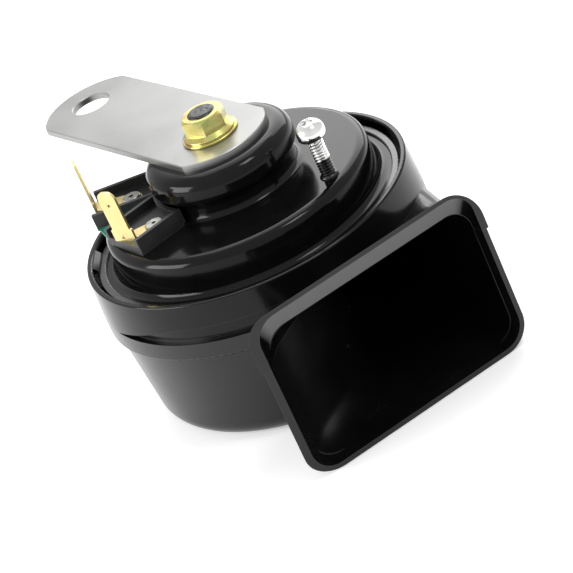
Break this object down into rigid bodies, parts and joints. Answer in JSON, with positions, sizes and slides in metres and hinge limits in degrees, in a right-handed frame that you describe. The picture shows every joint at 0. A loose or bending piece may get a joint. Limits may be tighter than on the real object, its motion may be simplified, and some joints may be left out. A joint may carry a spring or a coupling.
{
  "type": "car horn",
  "caption": "Electric disc horn with a moulded spiral trumpet ending in a wide rectangular bell, two blade terminals and a flat steel mounting strip.",
  "frame": {"origin": "centre of the hole at the free end of the mounting strip, on its upper face", "axes": "+Z along the horn axis and the hole, from the trumpet towards the nut; -Y is the way the bell opens"},
  "size_m": [0.1014, 0.1469, 0.083],
  "materials": {
    "black_plastic": "moulded, semi-gloss, black",
    "black_paint": "pressed steel, glossy black paint",
    "ring_metal": "folded steel, black",
    "zinc_steel": "pale zinc plate, satin",
    "yellow_zinc": "yellow passivated zinc plate",
    "screw_steel": "bright zinc plate with black sealing varnish at its foot",
    "terminal_brass": "tinned brass, satin",
    "block_plastic": "moulded, matt, black",
    "green_gasket": "green sealing sheet",
    "gasket_fibre": "fibre sheet",
    "spring_steel": "thin spring sheet",
    "soft_iron": "turned low-carbon steel",
    "copper_winding": "enamelled copper wire",
    "bobbin_nylon": "moulded, natural",
    "laminate": "resin-bonded paper board",
    "contact_metal": "tungsten"
  },
  "bodies": {
    "horn": {"trumpet_upper_shell": "black_plastic", "trumpet_lower_shell": "black_plastic", "coil_housing": "black_paint", "clamp_ring": "ring_metal", "gasket_upper": "gasket_fibre", "gasket_lower": "gasket_fibre", "diaphragm": "spring_steel", "pole_core": "zinc_steel", "coil_bobbin": "bobbin_nylon", "coil_winding": "copper_winding", "mounting_bracket": "zinc_steel", "flange_nut": "yellow_zinc", "adjusting_screw": "screw_steel", "terminal_block": "block_plastic", "terminal_gasket": "green_gasket", "terminal_tab_near": "terminal_brass", "terminal_tab_far": "terminal_brass", "terminal_rivet_near": "zinc_steel", "terminal_rivet_far": "zinc_steel", "breaker_bracket": "zinc_steel", "insulator_upper": "laminate", "insulator_middle": "laminate", "insulator_lower": "laminate", "fixed_contact_plate": "spring_steel", "fixed_contact": "contact_metal", "breaker_rivet": "zinc_steel"},
    "armature_set": {"armature": "soft_iron", "armature_washer": "zinc_steel", "armature_nut": "zinc_steel"},
    "contact_arm": {"contact_blade": "spring_steel", "moving_contact": "contact_metal"}
  },
  "joints": [
    {"name": "armature_stroke", "type": "slide", "parent": "horn", "child": "armature_set", "axis": [0, 0, 1], "range_m": [0, 0.0005], "stiffness_N_per_m": 2000, "deforming": ["diaphragm"]},
    {"name": "blade_flex", "type": "hinge", "parent": "horn", "child": "contact_arm", "pos_m": [0.00541, -0.09397, -0.0202], "axis": [0, -1, 0], "range_deg": [0, 3.4], "deforming": ["contact_blade"]}
  ],
  "couplings": [
    {"joint": "blade_flex", "follows": "armature_stroke", "rad_per_m": 111}
  ]
}
